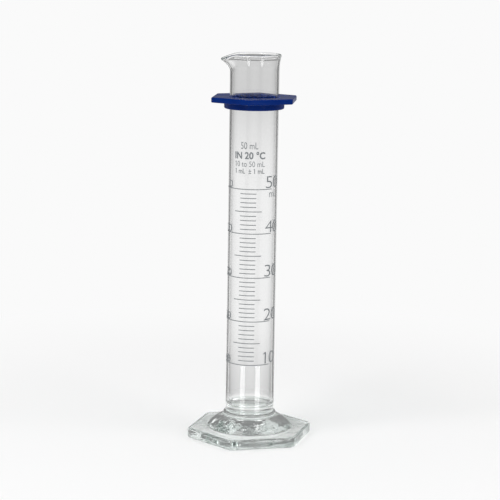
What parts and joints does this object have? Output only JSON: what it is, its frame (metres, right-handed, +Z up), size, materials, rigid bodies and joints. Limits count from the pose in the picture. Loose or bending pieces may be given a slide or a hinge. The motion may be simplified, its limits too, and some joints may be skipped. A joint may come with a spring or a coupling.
{
  "type": "measuring cylinder",
  "caption": "Tall graduated glass cylinder with a pouring spout, a domed hexagonal foot and a plastic guard that slides on the tube.",
  "frame": {"origin": "on the tube's axis, in the plane that the foot stands on", "axes": "+Z up along the tube, the spout points along -X, and the graduation faces -Y"},
  "size_m": [0.0664, 0.0654, 0.2063],
  "materials": {
    "glass": "clear borosilicate glass, fire-polished",
    "enamel": "fired white enamel print",
    "guard_plastic": "deep blue moulded polyethylene, glossy"
  },
  "bodies": {
    "glass": {"glass_cylinder": "glass", "graduation_lines": "enamel"},
    "guard": {"bumper_guard": "guard_plastic"}
  },
  "joints": [
    {"name": "guard_slide", "type": "slide", "parent": "glass", "child": "guard", "axis": [0, 0, 1], "range_m": [-0.1626, 0.0132]}
  ]
}
